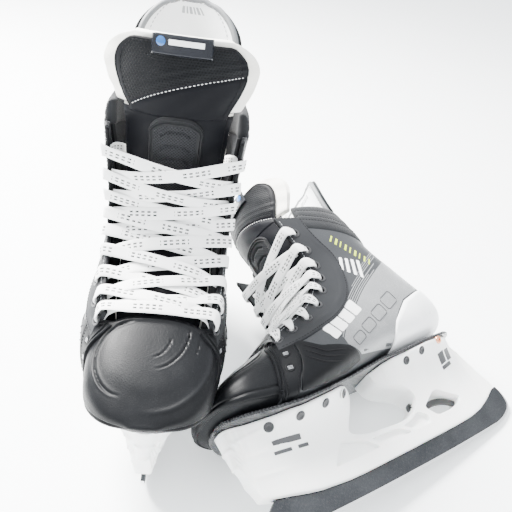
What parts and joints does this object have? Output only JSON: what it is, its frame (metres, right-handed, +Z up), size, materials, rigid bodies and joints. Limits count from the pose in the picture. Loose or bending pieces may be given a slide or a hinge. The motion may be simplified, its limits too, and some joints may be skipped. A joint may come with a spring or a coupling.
{
  "type": "pair of ice hockey skates",
  "caption": "Pair of ice hockey skates: one stands on its steel runner, the other lies on its side beside it. Runners release, tongue tops fold and tendon guards flex.",
  "frame": {"origin": "on the floor under the middle of the standing right skate's runner, where its edge is flat", "axes": "+Z up; -Y towards the standing skate's toe; +X towards the lying left skate"},
  "size_m": [0.3896, 0.3686, 0.306],
  "materials": {
    "quarter": "satin charcoal and silver composite",
    "toe_cap": "satin grained",
    "facing": "matt, stitched",
    "toe_band": "satin",
    "overlay": "satin, grooved",
    "heel_counter": "satin white",
    "outsole": "satin carbon weave",
    "footbed": "matt foam",
    "liner": "soft knit",
    "collar": "quilted, matt",
    "holder": "satin white",
    "copper_rivet": "polished copper",
    "runner": "ground, bright edge",
    "trigger": "satin black",
    "pin": "plain",
    "spring": "plain",
    "lace": "flat waxed braid",
    "felt": "thick felt",
    "tongue_cover": "matt, perforated at the top",
    "lace_pad": "matt mesh with a ribbed border",
    "tab": "glossy",
    "guard": "satin",
    "guard_lining": "satin cloth, bound edge"
  },
  "bodies": {
    "right_boot": {"right_boot_shell": "quarter", "right_toe_cap": "toe_cap", "right_facing_outer": "facing", "right_facing_inner": "facing", "right_toe_band_outer": "toe_band", "right_toe_band_inner": "toe_band", "right_overlay_outer": "overlay", "right_overlay_inner": "overlay", "right_heel_counter": "heel_counter", "right_outsole": "outsole", "right_footbed": "footbed", "right_ankle_liner": "liner", "right_collar_pad": "collar", "right_blade_holder": "holder", "right_heel_rivet_outer": "copper_rivet", "right_heel_rivet_inner": "copper_rivet", "right_trigger_pin": "pin", "right_trigger_spring": "spring", "right_lace": "lace", "right_tongue_felt": "felt", "right_tongue_cover": "tongue_cover", "right_tongue_lace_pad": "lace_pad"},
    "right_runner": {"right_runner": "runner"},
    "right_trigger": {"right_release_trigger": "trigger"},
    "right_tongue_top": {"right_tongue_top_felt": "felt", "right_tongue_top_cover": "tongue_cover", "right_tongue_tab": "tab"},
    "right_guard": {"right_tendon_guard": "guard", "right_guard_lining": "guard_lining"},
    "left_boot": {"left_boot_shell": "quarter", "left_toe_cap": "toe_cap", "left_facing_outer": "facing", "left_facing_inner": "facing", "left_toe_band_outer": "toe_band", "left_toe_band_inner": "toe_band", "left_overlay_outer": "overlay", "left_overlay_inner": "overlay", "left_heel_counter": "heel_counter", "left_outsole": "outsole", "left_footbed": "footbed", "left_ankle_liner": "liner", "left_collar_pad": "collar", "left_blade_holder": "holder", "left_heel_rivet_outer": "copper_rivet", "left_heel_rivet_inner": "copper_rivet", "left_trigger_pin": "pin", "left_trigger_spring": "spring", "left_lace": "lace", "left_tongue_felt": "felt", "left_tongue_cover": "tongue_cover", "left_tongue_lace_pad": "lace_pad"},
    "left_runner": {"left_runner": "runner"},
    "left_trigger": {"left_release_trigger": "trigger"},
    "left_tongue_top": {"left_tongue_top_felt": "felt", "left_tongue_top_cover": "tongue_cover", "left_tongue_tab": "tab"},
    "left_guard": {"left_tendon_guard": "guard", "left_guard_lining": "guard_lining"}
  },
  "joints": [
    {"name": "right_runner_release", "type": "hinge", "parent": "right_boot", "child": "right_runner", "pos_m": [0, -0.139, 0.027], "axis": [-1, 0, 0], "range_deg": [0, 4]},
    {"name": "right_trigger_pull", "type": "hinge", "parent": "right_boot", "child": "right_trigger", "pos_m": [0, 0.0375, 0.0465], "axis": [1, 0, 0], "range_deg": [0, 12], "stiffness_Nm_per_rad": 1.5, "springref_deg": -34.38},
    {"name": "right_tongue_fold", "type": "hinge", "parent": "right_boot", "child": "right_tongue_top", "pos_m": [0, -0.0195, 0.2525], "axis": [1, 0, 0], "range_deg": [0, 34], "stiffness_Nm_per_rad": 0.6, "springref_deg": -17.19},
    {"name": "right_guard_flex", "type": "hinge", "parent": "right_boot", "child": "right_guard", "pos_m": [0, 0.0885, 0.244], "axis": [-1, 0, 0], "range_deg": [0, 15], "stiffness_Nm_per_rad": 8, "springref_deg": -5.73},
    {"name": "left_runner_release", "type": "hinge", "parent": "left_boot", "child": "left_runner", "pos_m": [0.08618, -0.16533, 0.03807], "axis": [-0.2465, 0.1915, -0.95], "range_deg": [0, 4]},
    {"name": "left_trigger_pull", "type": "hinge", "parent": "left_boot", "child": "left_trigger", "pos_m": [0.22278, -0.05258, 0.02535], "axis": [0.2465, -0.1915, 0.95], "range_deg": [0, 12], "stiffness_Nm_per_rad": 1.5, "springref_deg": -34.38},
    {"name": "left_tongue_fold", "type": "hinge", "parent": "left_boot", "child": "left_tongue_top", "pos_m": [0.07221, 0.08374, 0.0919], "axis": [0.2465, -0.1915, 0.95], "range_deg": [0, 34], "stiffness_Nm_per_rad": 0.6, "springref_deg": -17.19},
    {"name": "left_guard_flex", "type": "hinge", "parent": "left_boot", "child": "left_guard", "pos_m": [0.16603, 0.13611, 0.07811], "axis": [-0.2465, 0.1915, -0.95], "range_deg": [0, 15], "stiffness_Nm_per_rad": 8, "springref_deg": -5.73},
    {"name": "left_skate_move", "type": "slide", "parent": "right_boot", "child": "left_boot", "axis": [1, 0, 0], "range_m": [0, 0.35]}
  ],
  "couplings": [
    {"joint": "right_trigger_pull", "follows": "right_runner_release", "ratio": 3},
    {"joint": "left_trigger_pull", "follows": "left_runner_release", "ratio": 3}
  ]
}
